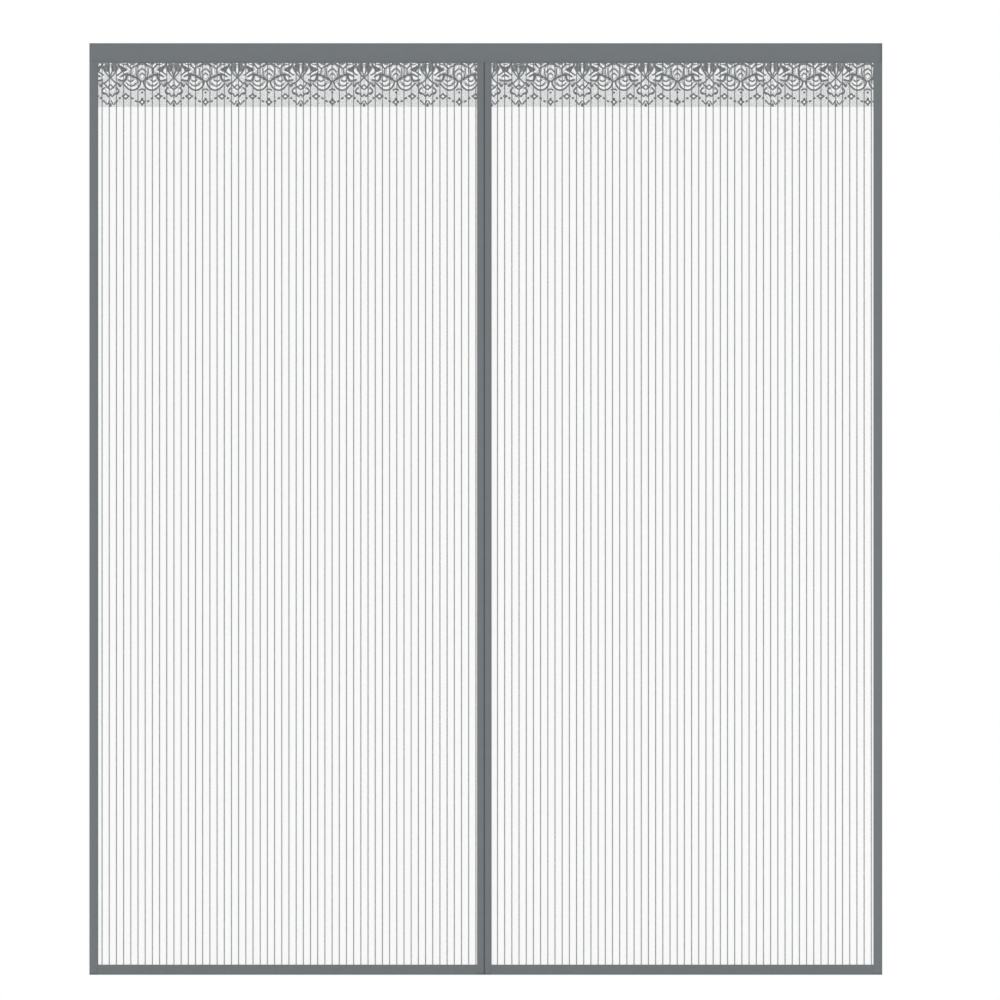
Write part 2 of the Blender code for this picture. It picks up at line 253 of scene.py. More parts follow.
CROWN_OPENINGS = [
    (1.9, [(22.8, 4.2), (24.0, 4.8)]),
    (1.5, [(27.4, 7.4), (33.6, 10.0)]),
    (1.0, [(27.4, 2.9), (36.4, 2.6)]),
    (1.3, [(39.4, 12.0), (43.6, 17.0)]),
    (1.5, [(41.6, 3.4), (44.6, 5.2)]),
    (2.2, [(47.4, 8.2), (48.0, 9.6)]),
    (1.2, [(55.0, 4.6), (61.6, 2.8)]),
    (1.5, [(54.4, 15.8), (54.2, 21.0), (53.4, 25.4)]),
    (1.6, [(61.6, 17.2), (64.4, 13.0), (69.2, 8.6)]),
    (1.4, [(70.4, 20.0), (66.6, 24.6), (64.6, 28.2)]),
    (2.4, [(71.0, 31.4), (72.0, 33.6)]),
    (1.4, [(72.0, 47.4), (72.0, 54.0)]),
]
LACE_OPENINGS = (FAN_OPENINGS + DAISY_OPENINGS + ROOT_OPENINGS + GARLAND_OPENINGS + RING_OPENINGS
                 + CROWN_OPENINGS)

# Areas of the lace with extra ground threads, as (half width, points): thin threads shade an area
# and thick ones work it close
LACE_SHADE = [
    (15.0, [(40.0, 13.0), (72.0, 13.0)]),
    (8.0, [(14.0, 8.0), (36.0, 12.0), (44.0, 22.0)]),
    (7.0, [(58.0, 28.0), (72.0, 32.0)]),
    (3.0, [(19.0, 45.6), (30.0, 46.4), (36.0, 46.0)]),
    (6.0, [(62.0, 44.0), (60.0, 50.0)]),
    (3.4, [(48.0, 33.6), (56.0, 38.0)]),
    (2.8, [(38.8, 35.0), (39.6, 41.6)]),
    (3.0, [(9.4, 55.4), (11.0, 63.0)]),
]
LACE_CLOTH = [
    (6.0, [(0.0, 0.0), (72.0, 0.0)]),
    (6.0, [(8.4, 4.0), (7.6, 11.0)]),
    (4.4, [(8.4, 10.0), (7.2, 17.0)]),
    (4.2, [(24.6, 12.4), (28.6, 16.4), (32.4, 16.8)]),
    (2.4, [(37.0, 28.2), (44.0, 28.4)]),
]


def colour(hex_code):
    """Linear colour with alpha of an sRGB hex value."""
    channels = [int(hex_code[i:i + 2], 16) / 255 for i in (0, 2, 4)]
    return [c / 12.92 if c <= 0.04045 else ((c + 0.055) / 1.055) ** 2.4 for c in channels] + [1.0]


class TapeSettings(bpy.types.PropertyGroup):
    """Border tapes and their stitching."""

    tone: bpy.props.FloatVectorProperty(
        name="Tape colour", description="Colour of the woven tape and its thread",
        subtype="COLOR", size=4, min=0, max=1, default=colour("74797C"))
    thickness: bpy.props.FloatProperty(
        name="Tape thickness", description="Thickness of the woven tape",
        default=0.0005, min=0.0002, unit="LENGTH")
    turned_in: bpy.props.FloatProperty(
        name="Turned-in edge", description="Width of the edge that is folded in before sewing",
        default=0.0070, min=0.002, unit="LENGTH")
    layering: bpy.props.FloatProperty(
        name="Layer step", description="How far each overlapping tape stands over the one below",
        default=0.0006, min=0.0, unit="LENGTH")
    tuck: bpy.props.FloatProperty(
        name="Tuck", description="How far a tape's end runs under the tape that crosses it",
        default=0.0080, min=0.0, unit="LENGTH")
    pucker: bpy.props.FloatProperty(
        name="Pucker", description="How far the sewn tape waves out of its plane",
        default=0.00012, min=0.0, unit="LENGTH")
    stitch_pitch: bpy.props.FloatProperty(
        name="Stitch pitch", description="Distance from one stitch to the next",
        default=0.0032, min=0.001, unit="LENGTH")
    thread: bpy.props.FloatProperty(
        name="Sewing thread", description="Thickness of the sewing thread",
        default=0.00045, min=0.0001, unit="LENGTH")
    # The overcast thread is darker than the tape as painted shade: it stands for the shade of the groove
    # where the two sleeves meet.
    edge_shade_tone: bpy.props.FloatVectorProperty(
        name="Edge thread colour", description="Colour of the thread that overcasts the closing edges",
        subtype="COLOR", size=4, min=0, max=1, default=colour("5C6164"))
    edge_pitch: bpy.props.FloatProperty(
        name="Edge stitch pitch", description="Distance between overcast stitches of the closing edges",
        default=0.0016, min=0.0005, unit="LENGTH")
    edge_reach: bpy.props.FloatProperty(
        name="Edge stitch reach", description="How far overcast stitches reach in from the closing edge",
        default=0.0022, min=0.0005, unit="LENGTH")
    seam_margin: bpy.props.FloatProperty(
        name="Seam margin", description="Distance from the tape's open edge to its row of stitches",
        default=0.0020, min=0.0005, unit="LENGTH")


class NetSettings(bpy.types.PropertyGroup):
    """Net and its woven stripes."""

    # The real net's yarns, about 1 mm apart, are too fine to show, so they are drawn coarser

    tone: bpy.props.FloatVectorProperty(
        name="Net colour", description="Colour of the net's fine yarn",
        subtype="COLOR", size=4, min=0, max=1, default=colour("F7F8F8"))
    thread: bpy.props.FloatProperty(
        name="Net yarn", description="Thickness of the net's yarn",
        default=0.00025, min=0.0001, unit="LENGTH")
    pitch: bpy.props.FloatProperty(
        name="Net mesh", description="Distance between the net's yarns",
        default=0.0013, min=0.0005, unit="LENGTH")
    stripe_tone: bpy.props.FloatVectorProperty(
        name="Stripe colour", description="Colour of the stripes' bulked yarn",
        subtype="COLOR", size=4, min=0, max=1, default=colour("4E5255"))
    stripe_yarns: bpy.props.IntProperty(
        name="Yarns in a stripe", description="Number of bulked yarns side by side in a stripe",
        default=5, min=1)
    stripe_yarn: bpy.props.FloatProperty(
        name="Stripe yarn", description="Thickness of a stripe's yarn",
        default=0.00046, min=0.0001, unit="LENGTH")


class LaceSettings(bpy.types.PropertyGroup):
    """Lace border below the header."""

    tone: bpy.props.FloatVectorProperty(
        name="Lace colour", description="Colour of the lace yarn",
        subtype="COLOR", size=4, min=0, max=1, default=colour("74797C"))
    ground_thread: bpy.props.FloatProperty(
        name="Ground yarn", description="Thickness of the fine yarn between the motifs",
        default=0.00014, min=0.00005, unit="LENGTH")
    shade_thread: bpy.props.FloatProperty(
        name="Shading yarn", description="Thickness of the extra yarn in the shaded areas",
        default=0.00014, min=0.00005, unit="LENGTH")
    cloth_thread: bpy.props.FloatProperty(
        name="Close yarn", description="Thickness of the extra yarn in the close-worked areas",
        default=0.00062, min=0.00005, unit="LENGTH")
    cord_flatness: bpy.props.FloatProperty(
        name="Cord flatness", description="Thickness of the flat cords against their width",
        default=0.17, min=0.05, max=1.0, subtype="FACTOR")


class StageSettings(bpy.types.PropertyGroup):
    """Camera and light."""

    view_width: bpy.props.FloatProperty(
        name="View width", description="Width that the camera sees",
        default=2.2702, min=0.5, unit="LENGTH")
    view_side: bpy.props.FloatProperty(
        name="Sideways", description="Camera's place across the screen", default=0.0322, unit="LENGTH")
    view_height: bpy.props.FloatProperty(
        name="Height", description="Camera's height in the screen's own frame",
        default=-1.0154, unit="LENGTH")
    sky: bpy.props.FloatProperty(
        name="Surrounding light", description="Strength of the light from all round", default=0.55, min=0.0)
    key: bpy.props.FloatProperty(
        name="Key light", description="Strength of the sun lamp at the front", default=1.1, min=0.0)
    rear: bpy.props.FloatProperty(
        name="Rear light", description="Strength of the sun lamp behind", default=1.2, min=0.0)
    floor_drop: bpy.props.FloatProperty(
        name="Floor gap", description="Gap between the bottom hem and the floor",
        default=0.006, unit="LENGTH")
    floor_size: bpy.props.FloatProperty(
        name="Floor size", description="Width of the floor", default=14.0, unit="LENGTH")


class ScreenSettings(bpy.types.PropertyGroup):
    """All settings of the insect screen."""

    tape: bpy.props.PointerProperty(type=TapeSettings, name="Tape", description="Border tapes")
    net: bpy.props.PointerProperty(type=NetSettings, name="Net", description="Net and stripes")
    lace: bpy.props.PointerProperty(type=LaceSettings, name="Lace", description="Lace border")
    stage: bpy.props.PointerProperty(type=StageSettings, name="Stage", description="Camera and light")


def add_node(tree, kind, inputs, **settings):
    """Adds a node. Each input, by its name or number, is a value or another node's output to link.

    A Mix node's inputs go by number: 0 is its factor, 2 and 3 are values, and 6 and 7 are colours.
    """
    node = tree.nodes.new(kind)
    for name, value in settings.items():
        setattr(node, name, value)
    for key, value in inputs.items():
        if isinstance(value, bpy.types.NodeSocket):
            tree.links.new(value, node.inputs[key])
        else:
            node.inputs[key].default_value = value
    return node


def start_material(name, tone, roughness):
    """A material with its Principled shader, its tree and the Object coordinates of its piece."""
    material = bpy.data.materials.new(name)
    material.use_nodes = True
    material.diffuse_color = tone
    tree = material.node_tree
    shader = tree.nodes["Principled BSDF"]
    shader.inputs["Base Color"].default_value = tone
    shader.inputs["Roughness"].default_value = roughness
    place = add_node(tree, "ShaderNodeTexCoord", {}).outputs["Object"]
    return material, tree, shader, place


def bands(spacing):
    """Scale of a wave texture whose bands are that far apart, in metres."""
    return 2 * math.pi / 20 / spacing


def grains(size):
    """Scale of a noise texture whose patches are about that wide, in metres."""
    return 1 / size


def shade_of(tone, factor):
    """The same colour, lighter or darker."""
    return [channel * factor for channel in tone[:3]] + [1.0]


def woven_tape(name, tone):
    """Polyester grosgrain, woven and dyed: matt, with fine crosswise ribs and slightly uneven dye."""
    material, tree, shader, place = start_material(name, tone, 0.82)
    # Real ribs, about 0.5 mm apart, are too fine to show, so they are drawn coarser
    rib = 0.0007
    across = add_node(tree, "ShaderNodeTexWave", {
        "Vector": place, "Scale": bands(rib)}, bands_direction="X")
    upright = add_node(tree, "ShaderNodeTexWave", {
        "Vector": place, "Scale": bands(rib)}, bands_direction="Z")
    weave = add_node(tree, "ShaderNodeMath", {0: across.outputs["Fac"], 1: upright.outputs["Fac"]},
                     operation="MULTIPLY")
    dye = add_node(tree, "ShaderNodeTexNoise", {"Vector": place, "Scale": grains(0.0222), "Detail": 3.0})
    mix = add_node(tree, "ShaderNodeMix", {
        0: dye.outputs["Fac"], 6: shade_of(tone, 0.95), 7: shade_of(tone, 1.05)}, data_type="RGBA")
    # The weave's raised crossings are painted lighter than the tape: a painted highlight on the ribs, laid
    # over the uneven dye.
    grain = add_node(tree, "ShaderNodeMix", {
        0: weave.outputs[0], 6: mix.outputs[2], 7: shade_of(tone, 1.10)}, data_type="RGBA")
    bump = add_node(tree, "ShaderNodeBump", {
        "Height": weave.outputs[0], "Strength": 0.35, "Distance": 0.0002})
    tree.links.new(grain.outputs[2], shader.inputs["Base Color"])
    tree.links.new(bump.outputs[0], shader.inputs["Normal"])
    shader.inputs["Specular IOR Level"].default_value = 0.25
    shader.inputs["Sheen Weight"].default_value = 0.08
    return material


def twisted_yarn(name, tone, twist, roughness):
    """Polyester yarn, spun and twisted: soft, with slanting plies that catch the light."""
    material, tree, shader, place = start_material(name, tone, roughness)
    slant = add_node(tree, "ShaderNodeTexWave", {
        "Vector": place, "Scale": bands(twist), "Distortion": 0.6}, bands_direction="DIAGONAL")
    tint = add_node(tree, "ShaderNodeMix", {
        0: slant.outputs["Fac"], 6: shade_of(tone, 0.88), 7: shade_of(tone, 1.12)}, data_type="RGBA")
    bump = add_node(tree, "ShaderNodeBump", {
        "Height": slant.outputs["Fac"], "Strength": 0.4, "Distance": 0.0001})
    tree.links.new(tint.outputs[2], shader.inputs["Base Color"])
    tree.links.new(bump.outputs[0], shader.inputs["Normal"])
    shader.inputs["Specular IOR Level"].default_value = 0.3
    return material


def drawn_net_yarn(name, tone):
    """Polyester filament, drawn and heat-set: pale, smooth, with a faint gloss."""
    material, tree, shader, place = start_material(name, tone, 0.5)
    haze = add_node(tree, "ShaderNodeTexNoise", {"Vector": place, "Scale": grains(0.00833), "Detail": 2.0})
    tint = add_node(tree, "ShaderNodeMix", {
        0: haze.outputs["Fac"], 6: shade_of(tone, 0.98), 7: tone}, data_type="RGBA")
    tree.links.new(tint.outputs[2], shader.inputs["Base Color"])
    shader.inputs["Specular IOR Level"].default_value = 0.3
    return material


def brushed_pile(name):
    """Nylon loop tape, knitted and brushed: dark, soft and uneven."""
    tone = colour("5B6063")
    material, tree, shader, place = start_material(name, tone, 0.95)
    fluff = add_node(tree, "ShaderNodeTexNoise", {"Vector": place, "Scale": grains(0.00111), "Detail": 5.0})
    tint = add_node(tree, "ShaderNodeMix", {
        0: fluff.outputs["Fac"], 6: shade_of(tone, 0.7), 7: shade_of(tone, 1.3)}, data_type="RGBA")
    bump = add_node(tree, "ShaderNodeBump", {
        "Height": fluff.outputs["Fac"], "Strength": 0.7, "Distance": 0.0004})
    tree.links.new(tint.outputs[2], shader.inputs["Base Color"])
    tree.links.new(bump.outputs[0], shader.inputs["Normal"])
    shader.inputs["Sheen Weight"].default_value = 0.3
    return material


def adhesive_backing(name):
    """Moulded nylon tape with a rolled-on adhesive: dark, half matt, with lines from the roller."""
    tone = colour("45494C")
    material, tree, shader, place = start_material(name, tone, 0.45)
    roller = add_node(tree, "ShaderNodeTexWave", {
        "Vector": place, "Scale": bands(0.0025), "Distortion": 1.5}, bands_direction="DIAGONAL")
    patch = add_node(tree, "ShaderNodeTexNoise", {"Vector": place, "Scale": grains(0.0143), "Detail": 4.0})
    tint = add_node(tree, "ShaderNodeMix", {
        0: patch.outputs["Fac"], 6: shade_of(tone, 0.85), 7: shade_of(tone, 1.2)}, data_type="RGBA")
    bump = add_node(tree, "ShaderNodeBump", {
        "Height": roller.outputs["Fac"], "Strength": 0.25, "Distance": 0.0002})
    tree.links.new(tint.outputs[2], shader.inputs["Base Color"])
    tree.links.new(bump.outputs[0], shader.inputs["Normal"])
    return material


def pressed_ferrite(name):
    """Ferrite, pressed and sintered: near black, with a dull grain."""
    tone = colour("3A3A3C")
    material, tree, shader, place = start_material(name, tone, 0.62)
    grain = add_node(tree, "ShaderNodeTexNoise", {"Vector": place, "Scale": grains(0.000667), "Detail": 4.0})
    tint = add_node(tree, "ShaderNodeMix", {
        0: grain.outputs["Fac"], 6: shade_of(tone, 0.75), 7: shade_of(tone, 1.3)}, data_type="RGBA")
    bump = add_node(tree, "ShaderNodeBump", {
        "Height": grain.outputs["Fac"], "Strength": 0.3, "Distance": 0.0001})
    tree.links.new(tint.outputs[2], shader.inputs["Base Color"])
    tree.links.new(bump.outputs[0], shader.inputs["Normal"])
    return material


def painted_floor(name):
    """Plaster floor, painted matt off-white: even, with faint trowel marks."""
    tone = colour("F4F4F3")
    material, tree, shader, place = start_material(name, tone, 0.9)
    trowel = add_node(tree, "ShaderNodeTexNoise", {"Vector": place, "Scale": grains(0.667), "Detail": 3.0})
    tint = add_node(tree, "ShaderNodeMix", {
        0: trowel.outputs["Fac"], 6: shade_of(tone, 0.985), 7: tone}, data_type="RGBA")
    tree.links.new(tint.outputs[2], shader.inputs["Base Color"])
    return material


def made_once(maker, name, **details):
    """The material of that name, made the first time that it is asked for."""
    return bpy.data.materials.get(name) or maker(name, **details)


def mesh_of(shape, name):
    """Turns a bmesh into a mesh of that name."""
    mesh = bpy.data.meshes.new(name)
    shape.to_mesh(mesh)
    shape.free()
    return mesh


def finished_mesh(guide):
    """Mesh that a helper object makes by its modifiers or its bevel. The helper is removed."""
    bpy.context.scene.collection.objects.link(guide)
    bpy.context.view_layer.update()
    mesh = bpy.data.meshes.new_from_object(guide.evaluated_get(bpy.context.evaluated_depsgraph_get()))
    bpy.data.objects.remove(guide)
    return mesh


def add_piece(name, shape, material, replaced=(), smooth=True):
    """Turns a bmesh into a piece of the screen."""
    mesh = mesh_of(shape, name)
    mesh.materials.append(material)
    if smooth:
        mesh.shade_smooth()
        mesh.set_sharp_from_angle(angle=SHARP_ANGLE)
    piece = bpy.data.objects.new(name, mesh)
    bpy.context.scene.collection.objects.link(piece)
    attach(piece, "root")
    if replaced:
        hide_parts(*replaced)
    return piece


def pucker(along, settings):
    """How far sewn tape stands off its plane at a place along its seam."""
    long_wave = math.sin(along * 2 * math.pi / PUCKER_LONG)
    short_wave = math.sin(along * 2 * math.pi / PUCKER_SHORT + PUCKER_SHIFT)
    return settings.pucker * (long_wave + short_wave) / 2


class Tape:
    """One folded border tape: where it lies, and how its section is drawn."""

    def __init__(self, node, direction, fold_side, proud=0.0, ends=("closed", "closed")):
        low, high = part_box(node)
        self.node = node
        self.direction = direction
        across, along = (0, 2) if direction == "upright" else (2, 0)
        self.fold = high[across] if fold_side > 0 else low[across]
        self.open = low[across] if fold_side > 0 else high[across]
        self.inward = -fold_side
        self.width = high[across] - low[across]
        self.start = low[along]
        self.end = high[along]
        # A tape that stands proud does so at the front, and one that is sunk is sunk on both sides
        self.front = low[1] - proud
        self.back = high[1] + min(proud, 0.0)
        self.ends = ends

    def reach_to(self, place):
        """Moves the fold to a new place and leaves the open edge where it is."""
        self.fold = place
        self.width = abs(self.open - place)

    def point(self, depth, y, along):
        """Place in the screen of a point of the tape's section, depth being the way in from the fold."""
        across = self.fold + self.inward * depth
        return Vector((across, y, along)) if self.direction == "upright" else Vector((along, y, across))


def tape_section(tape, settings):
    """Middle line of a folded tape with turned-in edges, as depth from the fold and Y."""
    half = settings.thickness / 2
    front, back = tape.front + half, tape.back - half
    middle = (front + back) / 2
    round_fold = (back - front) / 2
    turn = settings.thickness * TURN_ROUND
    lip = tape.width - half - turn
    inner = tape.width - settings.turned_in
    front_edge = [(inner, front + 2 * turn), (lip, front + 2 * turn)]
    front_edge += [(lip + turn * math.cos(angle), front + turn + turn * math.sin(angle))
                   for angle in (math.pi / 4, 0.0, -math.pi / 4)]
    fold = [(half + round_fold - round_fold * math.sin(angle), middle - round_fold * math.cos(angle))
            for angle in (math.pi * step / FOLD_STEPS for step in range(FOLD_STEPS + 1))]
    back_edge = [(depth, front + back - y) for depth, y in reversed(front_edge)]
    return front_edge + [(lip, front), (tape.width / 2, front)] + fold + [
        (tape.width / 2, back), (lip, back)] + back_edge


def sew_tape(tape, settings):
    """Mesh of one folded tape, drawn along its length from its section."""
    shape = bmesh.new()
    start = tape.start - (settings.tuck if tape.ends[0] == "tucked" else 0.0)
    end = tape.end + (settings.tuck if tape.ends[1] == "tucked" else 0.0)
    section = [shape.verts.new(tape.point(depth, y, start)) for depth, y in tape_section(tape, settings)]
    rim = [shape.edges.new(pair) for pair in zip(section, section[1:])]
    steps = round((end - start) / TAPE_STEP)
    step = tape.point(0, 0, (end - start) / steps) - tape.point(0, 0, 0)
    bmesh.ops.spin(shape, geom=section + rim, cent=(0, 0, 0), axis=(0, 1, 0), dvec=step,
                   angle=0, steps=steps, use_duplicate=False)
    bmesh.ops.recalc_face_normals(shape, faces=shape.faces)
    along_axis = 2 if tape.direction == "upright" else 0
    middle = (tape.front + tape.back) / 2
    for vert in shape.verts:
        along = vert.co[along_axis]
        vert.co.y += pucker(along, settings)
        for kind, past_end in zip(tape.ends, (tape.start - along, along - tape.end)):
            if kind == "tucked" and past_end > -TUCKED_START:
                vert.co.y = tape.front + (vert.co.y - tape.front) * TUCKED_PRESS
            if kind == "closed" and past_end > -CLOSED_START:
                vert.co.y = middle + (vert.co.y - middle) * CLOSED_PRESS
    return shape


def border_tapes(settings):
    """The seven tapes of the border by the name of their piece."""
    step = settings.layering
    meeting = (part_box("magnet_sleeve_left")[1].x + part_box("magnet_sleeve_right")[0].x) / 2
    tapes = {"header_tape": Tape("header_band", "level", 1, proud=step)}
    for word, side in SIDES.items():
        tapes[f"side_tape_{word}"] = Tape(
            f"side_binding_{word}", "upright", side, ends=("closed", "tucked"))
        sleeve = Tape(f"magnet_sleeve_{word}", "upright", -side, ends=("closed", "tucked"))
        sleeve.reach_to(meeting)
        tapes[f"sleeve_tape_{word}"] = sleeve
        tapes[f"hem_tape_{word}"] = Tape(
            f"bottom_hem_{word}", "level", -1, proud=-step, ends=("tucked", "tucked"))
    return tapes


def add_row(shape, single, step, count):
    """Adds a straight row of a bmesh's shape to another bmesh."""
    single_mesh = mesh_of(single, "single")
    guide = bpy.data.objects.new("row", single_mesh)
    array = guide.modifiers.new("Row", "ARRAY")
    array.count = count
    array.use_relative_offset = False
    array.use_constant_offset = True
    array.constant_offset_displace = step
    row = finished_mesh(guide)
    shape.from_mesh(row)
    bpy.data.meshes.remove(single_mesh)
    bpy.data.meshes.remove(row)


def stitch_row(shape, tape, settings, depth, y):
    """Adds a row of stitches along a tape at one depth from its fold, on its front or its back."""
    pitch = settings.stitch_pitch
    count = int((tape.end - tape.start - 2 * pitch) / pitch)
    first = (tape.start + tape.end - count * pitch) / 2
    along = pitch * STITCH_FILL
    wide = settings.thread / 2
    upright = tape.direction == "upright"
    size = Matrix.Diagonal((wide, wide, along, 1) if upright else (along, wide, wide, 1))
    place = Matrix.Translation(tape.point(depth, y, first))
    stitch = bmesh.new()
    bmesh.ops.create_icosphere(stitch, subdivisions=1, radius=1.0, matrix=place @ size)
    add_row(shape, stitch, tape.point(0, 0, pitch) - tape.point(0, 0, 0), count + 1)


def overcast_edge(shape, tape, settings):
    """Adds the stitches laid across a tape's fold, front and back."""
    count = int((tape.end - tape.start) / settings.edge_pitch)
    reach = settings.edge_reach / 2
    size = Matrix.Diagonal((reach, settings.thread / 2, settings.edge_pitch * OVERCAST_FILL, 1))
    for y in (tape.front, tape.back):
        place = Matrix.Translation(tape.point(reach, y, tape.start + settings.edge_pitch / 2))
        stitch = bmesh.new()
        bmesh.ops.create_icosphere(stitch, subdivisions=1, radius=1.0, matrix=place @ size)
        add_row(shape, stitch, (0, 0, settings.edge_pitch), count)


def in_half_repeat(across):
    """Folds a distance from a fan's axis into one half of the repeat, 0 to 72 mm."""
    half = LACE_REPEAT / MM / 2
    return np.abs((across + half) % (2 * half) - half)


def inside(shapes, across, down):
    """Which points lie within any of the shapes, each a half width and the line that it follows."""
    across = in_half_repeat(across)
    found = np.zeros(across.shape, bool)
    for half_width, points in shapes:
        for start, end in zip(points, points[1:]):
            run = np.subtract(end, start)
            past, below = across - start[0], down - start[1]
            share = np.clip((past * run[0] + below * run[1]) / (run @ run), 0, 1)
            found |= np.hypot(past - share * run[0], below - share * run[1]) < half_width
    return found


def ground_threads(shape, thread, offset, slope, areas=None):
    """Adds the slanting threads of one repeat, in all of it or in some areas, but never in an opening."""
    half = LACE_REPEAT / MM / 2
    crossing = half / GROUND_LINES
    rows = np.arange(-GROUND_ROWS_TUCKED, GROUND_ROWS_SHOWN)
    down = (rows + 0.5) * crossing
    turn = Matrix.Rotation(math.radians(-45 * slope), 4, "Y")
    lift = slope * thread * YARN_LIFT
    for line in range(-2 * GROUND_LINES, 2 * GROUND_LINES):
        across = (2 * line + offset - slope * (rows + 0.5)) * crossing
        kept = (np.abs(across) < half) & ~inside(LACE_OPENINGS, across, down)
        if areas:
            kept &= inside(areas, across, down)
        edges = np.flatnonzero(np.diff(np.concatenate(([False], kept, [False])).astype(int)))
        for first, last in zip(edges[::2], edges[1::2]):
            middle_row = (rows[first] + rows[last - 1] + 1) / 2
            length = (last - first) * crossing * math.sqrt(2)
            middle_across = (2 * line + offset - slope * middle_row) * crossing
            middle = (middle_across, lift, -middle_row * crossing)
            size = Matrix.Diagonal((length, thread, thread, 1))
            bmesh.ops.create_cube(shape, size=1, matrix=Matrix.Translation(middle) @ turn @ size)


def cut_to_length(shape, low, high):
    """Cuts repeated lace off at both ends and closes the cut threads."""
    for x, outward in ((low, -1), (high, 1)):
        verts = [vert for vert in shape.verts if (vert.co.x - x) * outward > -LACE_REPEAT]
        edges = list({edge for vert in verts for edge in vert.link_edges})
        faces = list({face for vert in verts for face in vert.link_faces})
        bmesh.ops.bisect_plane(shape, geom=verts + edges + faces, dist=CUT_TOLERANCE,
                               plane_co=(x, 0, 0), plane_no=(outward, 0, 0), clear_outer=True)
        bmesh.ops.holes_fill(shape, edges=[edge for edge in shape.edges if edge.is_boundary], sides=0)


def lace_panel(cell, word):
    """The lace of one panel, cut by cut, from the mesh of one repeat in millimetres."""
    low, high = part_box(f"lace_trim_{word}")
    start = shown_net(word)[0]
    header_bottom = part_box("header_band")[0].z
    ends = [low.x] + [start + join for join in LACE_JOINS[word]] + [high.x]
    panel = bmesh.new()
    for fan, left, right in zip(LACE_FANS[word], ends, ends[1:]):
        first = math.floor((left - start - fan) / LACE_REPEAT + 0.5)
        last = math.ceil((right - start - fan) / LACE_REPEAT - 0.5)
        cut = bmesh.new()
        for index in range(first, last + 1):
            before = len(cut.verts)
            cut.from_mesh(cell)
            cut.verts.ensure_lookup_table()
            place = Vector((start + fan + index * LACE_REPEAT, (low.y + high.y) / 2, header_bottom))
            bmesh.ops.transform(cut, matrix=Matrix.Translation(place) @ Matrix.Scale(MM, 4),
                                verts=cut.verts[before:])
        cut_to_length(cut, left, right)
        cut_mesh = mesh_of(cut, "cut")
        panel.from_mesh(cut_mesh)
        bpy.data.meshes.remove(cut_mesh)
    return panel


def shown_net(word):
    """Left and right end of a panel's net that shows between its tapes."""
    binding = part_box(f"side_binding_{word}")
    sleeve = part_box(f"magnet_sleeve_{word}")
    if word == "left":
        return binding[1].x, sleeve[0].x
    return sleeve[1].x, binding[0].x


def cord_cell():
    """Mesh of the flat cords of one repeat, in millimetres, as curves with a round bevel."""
    settings = bpy.context.scene.insect_screen.lace
    curve = bpy.data.curves.new("lace_cords", "CURVE")
    curve.dimensions = "3D"
    curve.bevel_depth = 1.0
    curve.bevel_resolution = 2
    curve.resolution_u = 3
    curve.use_fill_caps = True
    for width, points in LACE_LINES:
        for mirror in (1, -1):
            line = curve.splines.new("BEZIER")
            line.bezier_points.add(len(points) - 1)
            for knot, (across, down) in zip(line.bezier_points, points):
                knot.co = (mirror * across, 0, -down)
                knot.radius = width / 2
                knot.handle_left_type = knot.handle_right_type = "AUTO"
    mesh = finished_mesh(bpy.data.objects.new("lace_cords", curve))
    bpy.data.curves.remove(curve)
    mesh.transform(Matrix.Diagonal((1, settings.cord_flatness, 1, 1)))
    return mesh


def ground_cell():
    """Mesh of the fine ground threads of one repeat, in millimetres."""
    settings = bpy.context.scene.insect_screen.lace
    shape = bmesh.new()
    for slope in (1, -1):
        ground_threads(shape, settings.ground_thread / MM, 0, slope)
        ground_threads(shape, settings.shade_thread / MM, 1, slope, LACE_SHADE)
        ground_threads(shape, settings.cloth_thread / MM, 1, slope, LACE_CLOTH)
    return mesh_of(shape, "lace_ground")


def band(low, high, ridges=0, ridge_height=0.0):
    """A flat fastening tape with rounded long edges, plain or with rows of hooks on its front."""
    upright = high.z - low.z > high.x - low.x
    width = (high.x - low.x) if upright else (high.z - low.z)
    body_front = low.y + ridge_height
    corner = (high.y - body_front) * BAND_ROUND
    outline = [(0, high.y - corner), (corner, high.y), (width - corner, high.y), (width, high.y - corner)]
    outline += [(width, body_front + corner), (width - corner, body_front)]
    for row in range(ridges):
        at = width - (row + 0.5) * width / ridges
        foot = width / ridges * HOOK_FOOT
        outline += [(at + foot, body_front), (at, low.y), (at - foot, body_front)]
    outline += [(corner, body_front), (0, body_front + corner)]
    shape = bmesh.new()
    corners = [shape.verts.new((low.x + across, y, low.z) if upright else (low.x, y, low.z + across))
               for across, y in outline]
    face = shape.faces.new(corners)
    length = Vector((0, 0, high.z - low.z)) if upright else Vector((high.x - low.x, 0, 0))
    made = bmesh.ops.extrude_face_region(shape, geom=[face])["geom"]
    moved = [part for part in made if isinstance(part, bmesh.types.BMVert)]
    bmesh.ops.translate(shape, vec=length, verts=moved)
    bmesh.ops.recalc_face_normals(shape, faces=shape.faces)
    return shape


class SCREEN_OT_border(bpy.types.Operator):
    """Make the folded tapes round both panels"""

    bl_idname = "insect_screen.border"
    bl_label = "Border tapes"

    def execute(self, context):
        settings = context.scene.insect_screen.tape
        cloth = made_once(woven_tape, "polyester_grosgrain_woven", tone=settings.tone)
        for name, tape in border_tapes(settings).items():
            piece = add_piece(name, sew_tape(tape, settings), cloth, [tape.node])
            wall = piece.modifiers.new("Tape thickness", "SOLIDIFY")
            wall.thickness = settings.thickness
            wall.offset = 0.0
            wall.use_even_offset = True
        return {"FINISHED"}


